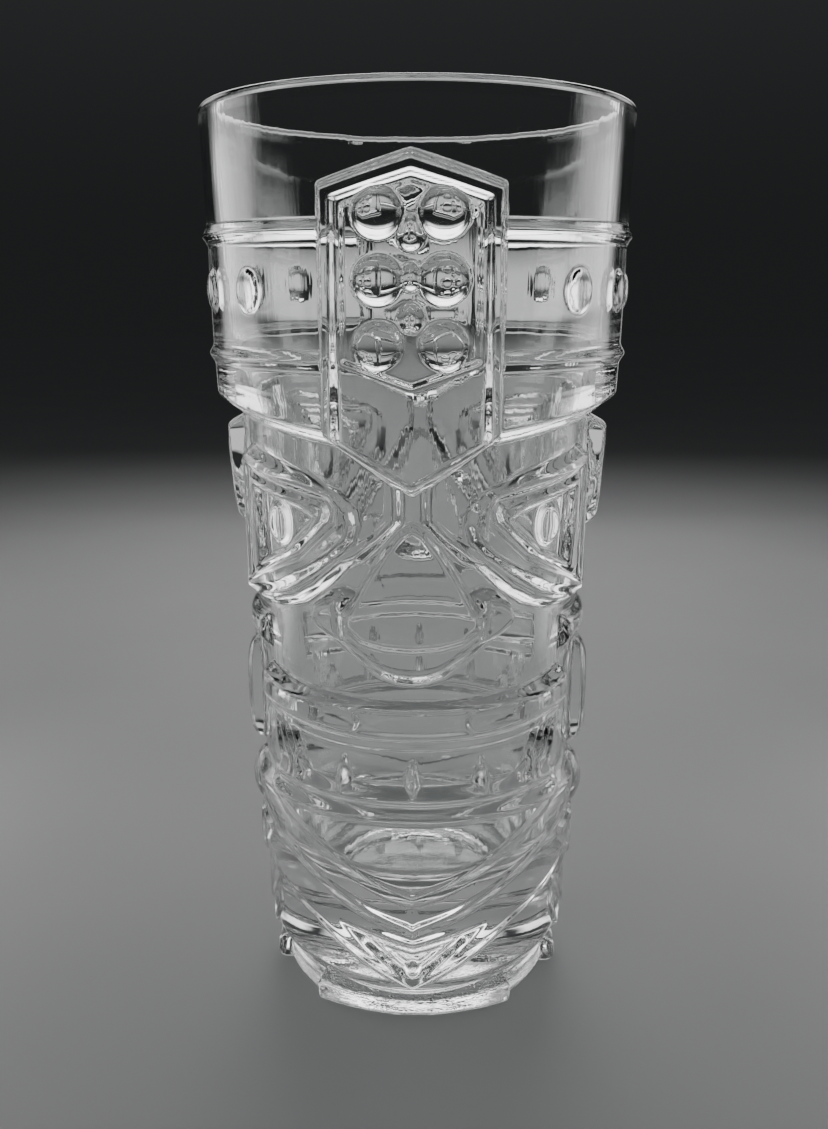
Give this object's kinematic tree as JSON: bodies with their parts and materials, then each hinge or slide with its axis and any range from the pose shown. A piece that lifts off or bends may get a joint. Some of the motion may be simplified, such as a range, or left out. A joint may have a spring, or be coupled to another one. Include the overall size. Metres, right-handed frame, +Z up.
{
  "type": "tiki tumbler",
  "caption": "Tall clear pressed-glass tumbler with a round rim and a carved tiki mask relief: beaded headdress, slanted eyes, broad nose, toothed mouth, layered beard and a faceted foot.",
  "frame": {"origin": "centre of the foot, on the surface the glass stands on", "axes": "+Z up through the middle of the mouth, -Y out of one mask's face and +Y out of the other's"},
  "size_m": [0.0788, 0.0828, 0.168],
  "materials": {
    "clear_glass": "clear, glossy, fire-polished pressed glass"
  },
  "bodies": {
    "root": {"glass_tumbler": "clear_glass"}
  },
  "joints": []
}
